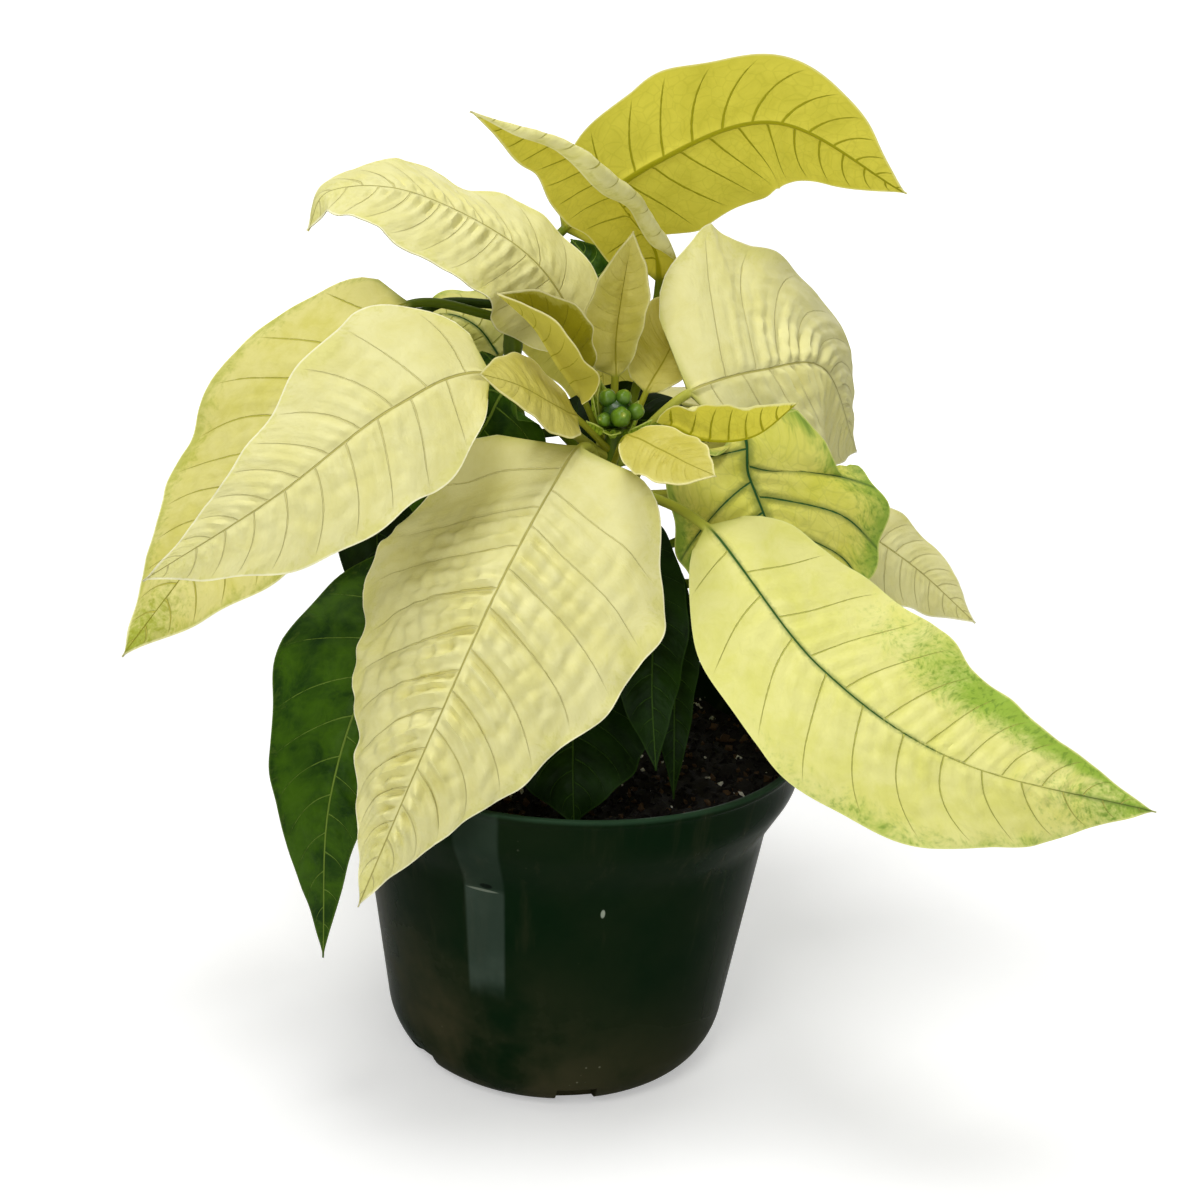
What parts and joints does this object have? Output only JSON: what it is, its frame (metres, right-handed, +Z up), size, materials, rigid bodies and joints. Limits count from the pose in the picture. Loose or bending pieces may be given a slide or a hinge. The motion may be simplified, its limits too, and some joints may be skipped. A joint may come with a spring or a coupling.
{
  "type": "potted poinsettia",
  "caption": "White-bracted poinsettia growing in a round, dark green nursery pot; petioled bracts and leaves on a forked stem, standing on the pot's flat base.",
  "frame": {"origin": "middle of the underside of the pot's base, on the surface that the pot stands on", "axes": "+Z up along the pot's axis; -Y is the plant's front, to which the flower head leans; +X is to the right when looking at the front"},
  "size_m": [0.24, 0.1853, 0.252],
  "materials": {
    "cream_bract": "satin leaf, creamy white with raised blisters between sunk veins",
    "yellow_bract": "satin leaf, yellow-cream, olive yellow underneath",
    "mixed_leaf": "satin leaf, cream-yellow with green veins and margins",
    "green_leaf": "satin leaf, deep green with paler veins",
    "stem": "smooth green stem, brown and corky at the foot",
    "bud": "smooth, slightly waxy green",
    "bractlet": "yellow-green, slightly waxy",
    "soil": "rough, matte, dark potting mix with bark and perlite",
    "pot_plastic": "glossy moulded plastic with fine dust and scratches"
  },
  "bodies": {
    "root": {"pot": "pot_plastic", "soil": "soil", "stems": "stem", "flower_buds": "bud", "flower_bractlets": "bractlet", "bract_front": "cream_bract", "bract_left_front": "cream_bract", "bract_left": "yellow_bract", "bract_upper_left": "cream_bract", "bract_right": "cream_bract", "bract_far_right": "cream_bract", "bract_right_front": "mixed_leaf", "bract_top_right": "yellow_bract", "bract_top_left": "cream_bract", "bract_back_left": "cream_bract", "bract_back": "cream_bract", "bract_back_right": "cream_bract", "bract_folded": "yellow_bract", "bract_small_left": "cream_bract", "bract_upright": "cream_bract", "bract_small_right": "cream_bract", "bract_narrow": "yellow_bract", "bract_small_front": "cream_bract", "bract_small_back": "cream_bract", "leaf_variegated": "mixed_leaf", "leaf_yellow_green": "mixed_leaf", "leaf_left": "green_leaf", "leaf_left_inner": "green_leaf", "leaf_front_left": "green_leaf", "leaf_front": "green_leaf", "leaf_front_narrow": "green_leaf", "leaf_low_front": "green_leaf", "leaf_behind_head": "green_leaf", "leaf_small_back": "green_leaf", "leaf_back_left": "green_leaf", "leaf_back": "green_leaf", "leaf_back_right": "green_leaf", "leaf_right": "green_leaf", "leaf_low_left": "green_leaf"}
  },
  "joints": []
}
